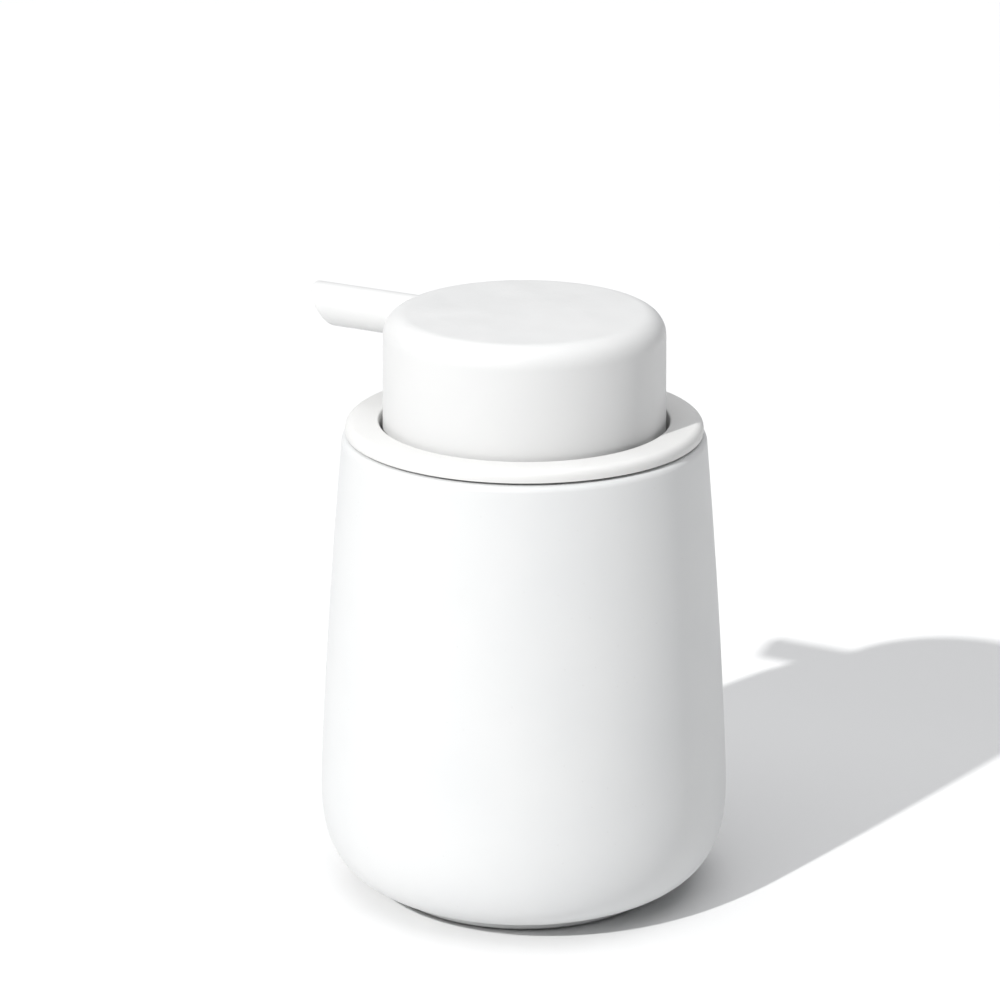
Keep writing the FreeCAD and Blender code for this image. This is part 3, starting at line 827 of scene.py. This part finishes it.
@dataclass
class VesselAssembly(SubAssembly):
    """Ceramic bottle and the silicone pad it stands on."""

    collar: "CollarAssembly"
    wall: float = 4.45 * MM
    floor: float = 5.0 * MM
    rim_round: float = 1.35 * MM
    rim_lean: float = 0.0887
    rim_pull_share: float = 0.55
    belly_swell: float = 4.52 * MM
    belly_height: float = 28.16 * MM
    belly_lean: float = 0.0483
    heel_drop: float = 13.84 * MM
    heel_reach: float = 23.62 * MM
    heel_flat_radius: float = 18.19 * MM
    underside: float = 0.62 * MM
    inner_heel_drop: float = 13.5 * MM
    inner_heel_reach: float = 18.5 * MM
    inner_flat_radius: float = 16.0 * MM
    mouth_bore: float = 11.6 * MM
    mouth_chamfer: float = 0.5 * MM
    foot_radius: float = 27.9 * MM
    foot_width: float = 2.1 * MM
    foot_round: float = 0.35 * MM
    groove_width: float = 1.0 * MM
    groove_depth: float = 0.3 * MM
    groove_radii: tuple[float, ...] = (12.0 * MM, 16.0 * MM, 20.0 * MM)
    sides: int = 192
    heel_steps: int = 56
    side_steps: int = 40
    rim_steps: int = 10
    inner_steps: int = 32
    sharp_deg: float = 40.0
    level_normal: float = 0.2

    def outline(self) -> list[Point]:
        """Half section of the vessel, from the middle of the underside outwards and back inside."""
        low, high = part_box("vessel")
        rim_z = high.z
        foot_z = low.z
        rim = self.collar.radius + self.collar.setback
        belly = rim + self.belly_swell
        mouth = rim - self.wall
        inner_belly = belly - self.wall
        shoulder = rim_z - self.rim_round
        pull = (shoulder - self.belly_height) / 3
        rim_pull = self.rim_round * self.rim_pull_share
        bore_end = rim_z - self.mouth_bore
        inner_pull = (bore_end - self.belly_height) / 3
        drop = self.inner_heel_drop
        heel = [(self.heel_flat_radius, self.underside)]
        curve_on(
            heel,
            (self.heel_flat_radius + self.heel_reach, self.underside),
            (belly + self.belly_lean * self.heel_drop, self.belly_height - self.heel_drop),
            (belly, self.belly_height), self.heel_steps,
        )
        heel = [p for p in heel if p[0] > self.foot_radius]
        inner_foot = self.foot_radius - self.foot_width
        pad_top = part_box("foot_pad")[1].z
        foot = rounded([
            (inner_foot, pad_top),
            (inner_foot, foot_z, self.foot_round),
            (self.foot_radius, foot_z, self.foot_round),
            (self.foot_radius, heel[0][1]),
        ], 5)[:-1]
        points = [(0.0, pad_top), *foot, *heel]
        curve_on(
            points,
            (belly - self.belly_lean * pull, self.belly_height + pull),
            (rim + self.rim_lean * pull, shoulder - pull),
            (rim, shoulder), self.side_steps,
        )
        rim_inner = rim - self.rim_round
        curve_on(
            points,
            (rim - self.rim_lean * rim_pull, shoulder + rim_pull),
            (rim_inner + rim_pull, rim_z),
            (rim_inner, rim_z), self.rim_steps,
        )
        chamfer = self.mouth_chamfer
        chamfer_round = 0.4 * chamfer
        points += rounded([
            (rim_inner, rim_z),
            (mouth + chamfer, rim_z, chamfer_round),
            (mouth, rim_z - chamfer, chamfer_round),
            (mouth, bore_end),
        ], 3)[1:-1]
        curve_on(
            points,
            (mouth, bore_end - inner_pull),
            (inner_belly - self.belly_lean * inner_pull, self.belly_height + inner_pull),
            (inner_belly, self.belly_height), self.inner_steps,
        )
        curve_on(
            points,
            (inner_belly + self.belly_lean * drop, self.belly_height - drop),
            (self.inner_flat_radius + self.inner_heel_reach, self.floor),
            (self.inner_flat_radius, self.floor), self.inner_steps,
        )
        points += [(0.0, self.floor)]
        points.append(points[0])
        return points

    def build(self) -> None:
        """Makes the vessel and its pad."""
        vessel = self.shop.turn(
            "ceramic_vessel", self.outline(), MATT_GLAZE, self.sides, self.sharp_deg
        )
        self.dress(vessel.data)
        place(vessel, Body.VESSEL, Slot.CERAMIC, "vessel")
        pad = self.shop.turn("foot_pad_disc", self.pad_outline(), FOOT_GREY)
        place(pad, Body.VESSEL, Slot.FOOT, "foot_pad")

    def dress(self, mesh: Mesh) -> None:
        """Gives the inside its gloss glaze and the foot ring its bare clay.

        Args:
            mesh: The vessel's mesh, all in the outer glaze.
        """
        mesh.materials.append(INNER_GLAZE.material())
        mesh.materials.append(BARE_STONEWARE.material())
        rim_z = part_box("vessel")[1].z
        pad_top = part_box("foot_pad")[1].z
        for face in mesh.polygons:
            middle = face.center
            radius = math.hypot(middle.x, middle.y)
            inward = middle.x * face.normal.x + middle.y * face.normal.y < 0
            inside = self.floor - MM < middle.z < rim_z - MM
            if inside and (inward or face.normal.z > self.level_normal):
                face.material_index = 1
            elif radius < self.foot_radius - self.foot_round and middle.z < pad_top:
                face.material_index = 2

    def pad_outline(self) -> list[Point]:
        """Half section of the pad, with its underside grooves."""
        low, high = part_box("foot_pad")
        corners: list[tuple[float, ...]] = [(0.0, high.z), (0.0, low.z)]
        for middle in self.groove_radii:
            near = middle - self.groove_width / 2
            far = middle + self.groove_width / 2
            corners += [
                (near, low.z, LIP_ROUND),
                (near, low.z + self.groove_depth),
                (far, low.z + self.groove_depth),
                (far, low.z, LIP_ROUND),
            ]
        corners += [(high.x, low.z, self.foot_round), (high.x, high.z, FINE_ROUND)]
        return rounded(corners, 4)


@dataclass
class CollarAssembly(SubAssembly):
    """Deck ring with its well and neck, and the gasket that seals it in the mouth."""

    setback: float = 0.71 * MM
    edge_round: float = 1.5 * MM
    hole_round: float = 0.4 * MM
    lower_round: float = 0.15 * MM
    deck: float = 2.3 * MM
    cap_gap: float = 0.75 * MM
    sleeve_wall: float = 1.74 * MM
    groove_depth: float = 0.5 * MM
    groove_height: float = 2.0 * MM
    groove_below_rim: float = 4.0 * MM
    floor: float = 2.0 * MM
    neck_outer: float = 12.0 * MM
    neck_wall: float = 2.4 * MM
    web: float = 0.5 * MM
    lip_height: float = 1.6 * MM
    lip_reach: float = 0.92 * MM
    lip_start: float = 0.5
    lip_end: float = 0.7
    lips: int = 3
    lips_below_rim: float = 0.5 * MM
    flange_round: float = 0.08 * MM
    gap: float = 0.02 * MM
    sides: int = 192
    round_steps: int = 8
    lip_steps: int = 3

    @property
    def radius(self) -> float:
        """The deck ring's outer radius."""
        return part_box("collar")[1].x

    @property
    def well_radius(self) -> float:
        """Radius of the well that the cap drops into."""
        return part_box("pump_cap")[1].x + self.cap_gap

    def outline(self) -> list[Point]:
        """Half section of the collar."""
        low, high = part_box("collar")
        under_deck = high.z - self.deck
        sleeve = self.well_radius + self.sleeve_wall
        groove = sleeve - self.groove_depth
        groove_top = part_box("vessel")[1].z - self.groove_below_rim
        floor_z = low.z + self.floor
        neck_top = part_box("closure_washer")[0].z
        neck_inner = self.neck_outer - self.neck_wall
        return rounded([
            (self.well_radius, high.z, self.hole_round),
            (self.radius, high.z, self.edge_round),
            (self.radius, under_deck, self.lower_round),
            (sleeve, under_deck),
            (sleeve, groove_top),
            (groove, groove_top),
            (groove, groove_top - self.groove_height),
            (sleeve, groove_top - self.groove_height),
            (sleeve, low.z, ROOT_ROUND),
            (neck_inner, low.z, SOFT_ROUND),
            (neck_inner, neck_top, FINE_ROUND),
            (self.neck_outer, neck_top, SOFT_ROUND),
            (self.neck_outer, floor_z, SOFT_ROUND),
            (self.well_radius, floor_z, ROOT_ROUND),
        ], self.round_steps)

    def gasket_outline(self) -> list[Point]:
        """Half section of the gasket: rim flange, bead and soft lips; the black flange in the seam is
        also painted shade.
        """
        low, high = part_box("collar_gasket")
        rim_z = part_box("vessel")[1].z
        inner = self.well_radius + self.sleeve_wall + self.gap
        web = inner + self.web
        lip = inner + self.lip_reach
        bead = inner - self.groove_depth
        groove_top = rim_z - self.groove_below_rim
        pitch = (rim_z - low.z - self.lips_below_rim - self.lip_height) / self.lips
        corners: list[tuple[float, ...]] = [
            # The rim flange reaches out into the seam under the collar; its black face there is
            # painted shade for the seam's shadow line.
            (inner, high.z),
            (high.x, high.z, self.flange_round),
            (high.x, rim_z + self.gap, self.flange_round),
            (web, rim_z + self.gap),
        ]
        for i in range(self.lips):
            top = rim_z - self.lips_below_rim - self.lip_height / 2 - i * pitch
            corners += [
                (web, top),
                (lip, top - self.lip_height * self.lip_start, LIP_ROUND),
                (lip, top - self.lip_height * self.lip_end, LIP_ROUND),
                (web, top - self.lip_height),
            ]
        corners += [
            (web, low.z, 0.15 * MM),
            (inner, low.z),
            (inner, groove_top - self.groove_height + self.gap),
            (bead, groove_top - self.groove_height + self.gap),
            (bead, groove_top - self.gap),
            (inner, groove_top - self.gap),
        ]
        return rounded(corners, self.lip_steps)

    def build(self) -> None:
        """Makes the collar and its gasket."""
        collar = self.shop.turn("deck_collar", self.outline(), COLLAR_WHITE, self.sides)
        place(collar, Body.PUMP_UNIT, Slot.COLLAR, "collar")
        # The gasket is a real seal; its black flange in the seam also serves as painted shade.
        gasket = self.shop.turn("rim_gasket_seam_shade", self.gasket_outline(), GASKET_BLACK_AND_SEAM_SHADE, self.sides)
        place(gasket, Body.PUMP_UNIT, Slot.GASKET, "collar_gasket")


@dataclass
class PumpAssembly(SubAssembly):
    """The pump below the deck: closure, barrel and what it holds, tube, spring."""

    closure_wall: float = 2.25 * MM
    closure_top: float = 1.6 * MM
    closure_hole: float = 5.25 * MM
    closure_round: float = 1.1 * MM
    grip_ribs: int = 40
    grip_rib: float = 0.42 * MM
    grip_above: float = 0.5 * MM
    grip_below: float = 1.2 * MM
    wire: float = 0.4 * MM
    coil: float = 4.2 * MM
    turns: float = 8.5
    closed_turns: float = 1.0
    steps_per_turn: int = 36
    closure_sharp_deg: float = 40.0
    spring_sharp_deg: float = 50.0
    stroke_joint: str = "pump_press"

    def closure(self) -> None:
        """Makes the ribbed screw ring."""
        low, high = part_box("pump_closure")
        skin = high.x - self.grip_rib
        inner = high.x - self.closure_wall
        ring = self.shop.turn("closure_ring", rounded([
            (self.closure_hole, high.z, FINE_ROUND),
            (skin, high.z, self.closure_round),
            (skin, low.z, EDGE_ROUND),
            (inner, low.z, FINE_ROUND),
            (inner, high.z - self.closure_top),
            (self.closure_hole, high.z - self.closure_top),
        ]), PUMP_WHITE)
        ribbed = bake(
            "ribbed_closure", ring.data, grip_tree(), PUMP_WHITE,
            Ribs=self.grip_ribs, Ring_Radius=skin, Rib_Radius=self.grip_rib,
            Low=low.z + self.grip_above, High=high.z - self.grip_below,
        )
        bpy.data.objects.remove(ring)
        smooth(ribbed.data, self.closure_sharp_deg)
        place(ribbed, Body.PUMP_UNIT, Slot.PUMP, "pump_closure")

    def spring(self) -> None:
        """Winds the return spring."""
        low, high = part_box("return_spring")
        steps = int(self.turns * self.steps_per_turn)
        seed = bpy.data.meshes.new("spring_seed")
        spring = bake(
            "return_coil", seed, coil_tree(), SPRING_STEEL, Wire_Radius=self.wire,
            Coil_Radius=self.coil, Turns=self.turns, Closed_Turns=self.closed_turns,
            Length=high.z - low.z - 2 * self.wire, Foot=low.z + self.wire, Steps=steps,
        )
        smooth(spring.data, self.spring_sharp_deg)
        place(spring, Body.PUMP_UNIT, Slot.SPRING, "return_spring")
        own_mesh(spring)

    def build(self) -> None:
        """Makes the pump's fixed pieces and its spring."""
        self.closure()
        for name, node, finish, slot in (
            ("foam_washer", "closure_washer", FOAM_SHEET, Slot.WASHER),
            ("pump_barrel", "pump_cylinder", BARREL_MILKY, Slot.BARREL),
            ("guide_bush", "stem_guide", PUMP_WHITE, Slot.PUMP),
            ("ball_spider", "ball_cage", PUMP_WHITE, Slot.PUMP),
            ("suction_tube", "dip_tube", TUBE_CLEAR, Slot.TUBE),
        ):
            self.copy(name, node, finish, Body.PUMP_UNIT, slot)
        self.spring()


@dataclass
class PlungerAssembly(SubAssembly):
    """What the stem pushes down inside the barrel."""

    def build(self) -> None:
        """Makes the piston rod and the piston."""
        self.copy("hollow_rod", "piston_rod", PUMP_WHITE, Body.PLUNGER, Slot.PUMP)
        self.copy("lip_piston", "piston", PISTON_WAX, Body.PLUNGER, Slot.PISTON)


@dataclass
class ValveBalls(SubAssembly):
    """The two steel balls that keep the soap from running back."""

    def build(self) -> None:
        """Makes both balls."""
        for name, node, body in (
            ("inlet_valve_ball", "inlet_ball", Body.INLET_VALVE),
            ("outlet_valve_ball", "outlet_ball", Body.OUTLET_VALVE),
        ):
            self.copy(name, node, BALL_STEEL, body, Slot.BALL, BALL_SHARP_DEG)


@dataclass
class HeadAssembly(SubAssembly):
    """Pump cap, spout, elbow and stem, which go down and turn together."""

    draft: float = 0.24 * MM
    edge_round: float = 4.4 * MM
    wall: float = 2.0 * MM
    ceiling: float = 1.8 * MM
    inner_round: float = 2.6 * MM
    skirt_round: float = 0.6 * MM
    boss_inner: float = 5.42 * MM
    boss_wall: float = 1.5 * MM
    boss_depth: float = 4.7 * MM
    webs: int = 5
    web_spacing_deg: float = 60.0
    web_thickness: float = 1.0 * MM
    web_depth: float = 2.6 * MM
    web_sink: float = 0.3 * MM
    web_hold: float = 1.4 * MM
    spout_radius: float = 4.19 * MM
    spout_flush: float = 0.05 * MM
    spout_bore: float = 2.8 * MM
    slant_deg: float = 30.0
    tip_round: float = 0.3 * MM
    bore_stop: float = 2.0 * MM
    bury: float = 0.25 * MM
    cap_sides: int = 192
    round_steps: int = 12
    spout_sides: int = 96
    spout_steps: int = 12
    lip_steps: int = 4
    lip_sharp_deg: float = 35.0
    cap_sharp_deg: float = 32.0

    def cap_radius_at(self, z: float) -> float:
        """Outer radius of the cap at a height.

        Args:
            z: Height in the frame.

        Returns:
            The radius there, through the side and the rounded edge.
        """
        low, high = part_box("pump_cap")
        side = high.x - self.draft * (z - low.z) / (high.z - low.z)
        into_edge = z - (high.z - self.edge_round)
        if into_edge <= 0.0:
            return side
        into_edge = min(into_edge, self.edge_round)
        return side - self.edge_round + math.sqrt(self.edge_round ** 2 - into_edge ** 2)

    def cap(self) -> None:
        """Makes the pump cap with its boss and webs."""
        low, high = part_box("pump_cap")
        top_radius = high.x - self.draft
        ceiling = high.z - self.ceiling
        boss_outer = self.boss_inner + self.boss_wall
        shell = self.shop.turn("cap_shell", rounded([
            (0.0, high.z),
            (top_radius, high.z, self.edge_round),
            (high.x, low.z, self.skirt_round),
            (high.x - self.wall, low.z, SOFT_ROUND),
            (top_radius - self.wall, ceiling, self.inner_round),
            (boss_outer, ceiling, EDGE_ROUND),
            (boss_outer, ceiling - self.boss_depth, EDGE_ROUND),
            (self.boss_inner, ceiling - self.boss_depth, EDGE_ROUND),
            (self.boss_inner, ceiling),
            (0.0, ceiling),
        ], self.round_steps), CAP_WHITE, self.cap_sides)
        cap = bake(
            "pump_button", shell.data, web_tree(), CAP_WHITE, Webs=self.webs,
            Spacing=math.radians(self.web_spacing_deg),
            Inner_Radius=self.boss_inner + self.boss_wall / 2,
            Outer_Radius=top_radius - self.web_hold, Thickness=self.web_thickness,
            Low=ceiling - self.web_depth, High=ceiling + self.web_sink,
        )
        bpy.data.objects.remove(shell)
        smooth(cap.data, self.cap_sharp_deg)
        place(cap, Body.HEAD, Slot.CAP, "pump_cap")

    def spout(self) -> None:
        """Makes the spout: a tube fitted to the cap's side, with a soft slanted lip."""
        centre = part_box("pump_cap")[1].z - self.spout_radius - self.spout_flush
        slope = math.tan(math.radians(self.slant_deg))
        reach = -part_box("spout")[0].x - self.spout_radius * slope
        bore_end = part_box("pump_cap")[1].x + self.bore_stop
        work = bmesh.new()
        rings: list[list[bmesh.types.BMVert]] = []
        lip = [math.pi / 2 * k / self.lip_steps for k in range(self.lip_steps + 1)]
        for i in range(self.spout_sides):
            turn = 2 * math.pi * i / self.spout_sides
            across = math.cos(turn)
            up = math.sin(turn)
            z = centre + self.spout_radius * up
            y = self.spout_radius * across
            cap_radius = self.cap_radius_at(z)
            root = math.sqrt(max(cap_radius ** 2 - y ** 2, 0.0)) - self.bury
            line: list[tuple[float, float]] = []
            end = reach + self.spout_radius * up * slope
            straight = end - self.tip_round
            for k in range(self.spout_steps + 1):
                line.append((root + (straight - root) * k / self.spout_steps, self.spout_radius))
            for a in lip[1:]:
                line.append((
                    straight + self.tip_round * math.sin(a),
                    self.spout_radius - self.tip_round * (1 - math.cos(a)),
                ))
            inner_end = reach + self.spout_bore * up * slope
            inner_straight = inner_end - self.tip_round
            for a in reversed(lip):
                line.append((
                    inner_straight + self.tip_round * math.sin(a),
                    self.spout_bore + self.tip_round * (1 - math.cos(a)),
                ))
            line.append((bore_end, self.spout_bore))
            rings.append([work.verts.new((-s, r * across, centre + r * up)) for s, r in line])
        for i, ring in enumerate(rings):
            after = rings[(i + 1) % len(rings)]
            for k in range(len(ring) - 1):
                work.faces.new((ring[k], ring[k + 1], after[k + 1], after[k]))
        work.faces.new([ring[-1] for ring in rings])
        work.faces.new([ring[0] for ring in reversed(rings)])
        bmesh.ops.recalc_face_normals(work, faces=work.faces)
        mesh = bpy.data.meshes.new("side_spout")
        work.to_mesh(mesh)
        work.free()
        mesh.materials.append(CAP_WHITE.material())
        smooth(mesh, self.lip_sharp_deg)
        place(add_object("side_spout", mesh), Body.HEAD, Slot.CAP, "spout")

    def build(self) -> None:
        """Makes the head's pieces."""
        self.cap()
        self.spout()
        self.copy("elbow_block", "head_core", PUMP_WHITE, Body.HEAD, Slot.PUMP)
        self.copy("hollow_stem", "stem", PUMP_WHITE, Body.HEAD, Slot.PUMP)
        self.copy("spigot_seal", "spout_o_ring", O_RING_BLACK, Body.HEAD, Slot.O_RING, BALL_SHARP_DEG)


# ---- studio


@dataclass
class Studio:
    """Pale floor, a key light under an overhead softbox, and the camera."""

    azimuth_deg: float = 29.36
    pitch_deg: float = 17.95
    distance: float = 738.8 * MM
    height: float = 318.1 * MM
    aside: float = 4.7 * MM
    lens: float = 144.0
    sensor: float = 36.0
    floor_half: float = 6.0
    floor_gap: float = 0.02 * MM
    key_bearing_deg: float = 41.0
    key_elevation_deg: float = 37.5
    key_strength: float = 2.7
    key_softness_deg: float = 1.2
    key_colour: Colour = (1.0, 0.998, 0.99)
    softbox_side: float = 4.0
    softbox_height: float = 3.0
    softbox_power: float = 84.0
    softbox_colour: Colour = (0.985, 0.99, 1.0)
    sky_strength: float = 0.125
    sky_colour: Colour = (0.95, 0.97, 1.0)
    backdrop_colour: Colour = (0.94, 0.94, 0.94)

    def build(self) -> None:
        """Makes the floor, the lights and the camera."""
        self.floor()
        self.lights()
        self.camera()

    def floor(self) -> None:
        """Makes the seamless floor."""
        half = self.floor_half
        mesh = bpy.data.meshes.new("studio_floor")
        low = -self.floor_gap
        corners = [(-half, -half, low), (half, -half, low), (half, half, low), (-half, half, low)]
        mesh.from_pydata(corners, [], [(0, 1, 2, 3)])
        mesh.materials.append(STUDIO_PAPER.material())
        add_object("studio_floor", mesh)

    def bearing(self, right: float, ahead: float) -> Vector:
        """Turns a direction seen from the camera into the frame's plan.

        Args:
            right: Part to the camera's right.
            ahead: Part away from the camera.

        Returns:
            The level direction.
        """
        turn = math.radians(self.azimuth_deg)
        return Vector((
            right * math.cos(turn) - ahead * math.sin(turn),
            right * math.sin(turn) + ahead * math.cos(turn),
            0.0,
        ))

    def lights(self) -> None:
        """Makes the key light from the front left, the overhead softbox and the dim surround."""
        light = bpy.data.lights.new("key_light", "SUN")
        light.energy = self.key_strength
        light.angle = math.radians(self.key_softness_deg)
        light.color = self.key_colour
        key = add_object("key_light", light)
        side = math.radians(self.key_bearing_deg)
        level = self.bearing(math.sin(side), math.cos(side))
        drop = math.radians(self.key_elevation_deg)
        travel = level * math.cos(drop) - Vector((0.0, 0.0, math.sin(drop)))
        key.rotation_euler = travel.to_track_quat("-Z", "Y").to_euler()
        panel = bpy.data.lights.new("overhead_softbox", "AREA")
        panel.size = self.softbox_side
        panel.energy = self.softbox_power
        panel.color = self.softbox_colour
        add_object("overhead_softbox", panel).location.z = self.softbox_height
        world = bpy.data.worlds.new("dim_surround")
        world.use_nodes = True
        tree = world.node_tree
        glow = tree.nodes["Background"]
        glow.inputs["Color"].default_value = (*self.sky_colour, 1.0)
        glow.inputs["Strength"].default_value = self.sky_strength
        backdrop = tree.nodes.new("ShaderNodeBackground")
        backdrop.inputs["Color"].default_value = (*self.backdrop_colour, 1.0)
        seen = tree.nodes.new("ShaderNodeLightPath")
        either = tree.nodes.new("ShaderNodeMixShader")
        tree.links.new(seen.outputs["Is Camera Ray"], either.inputs[0])
        tree.links.new(glow.outputs[0], either.inputs[1])
        tree.links.new(backdrop.outputs[0], either.inputs[2])
        tree.links.new(either.outputs[0], tree.nodes["World Output"].inputs["Surface"])
        bpy.context.scene.world = world

    def camera(self) -> None:
        """Makes the camera."""
        data = bpy.data.cameras.new("studio_camera")
        data.lens = self.lens
        data.sensor_width = self.sensor
        data.dof.use_dof = False
        camera = add_object("studio_camera", data)
        camera.location = self.bearing(-self.aside, -self.distance)
        camera.location.z = self.height
        tilt = math.radians(90.0 - self.pitch_deg)
        camera.rotation_euler = (tilt, 0.0, math.radians(self.azimuth_deg))
        bpy.context.scene.camera = camera
        bpy.context.scene.view_settings.view_transform = "Standard"


def main() -> None:
    """Builds every sub-assembly round the frame, then the studio."""
    logging.basicConfig(level=logging.INFO, format="%(name)s %(message)s")
    shop = Workshop(frame["nodes"])
    collar = CollarAssembly(shop)
    for assembly in (
        VesselAssembly(shop, collar), collar, PumpAssembly(shop), PlungerAssembly(shop),
        ValveBalls(shop), HeadAssembly(shop), Studio(),
    ):
        assembly.build()


if __name__ == "__main__":
    main()
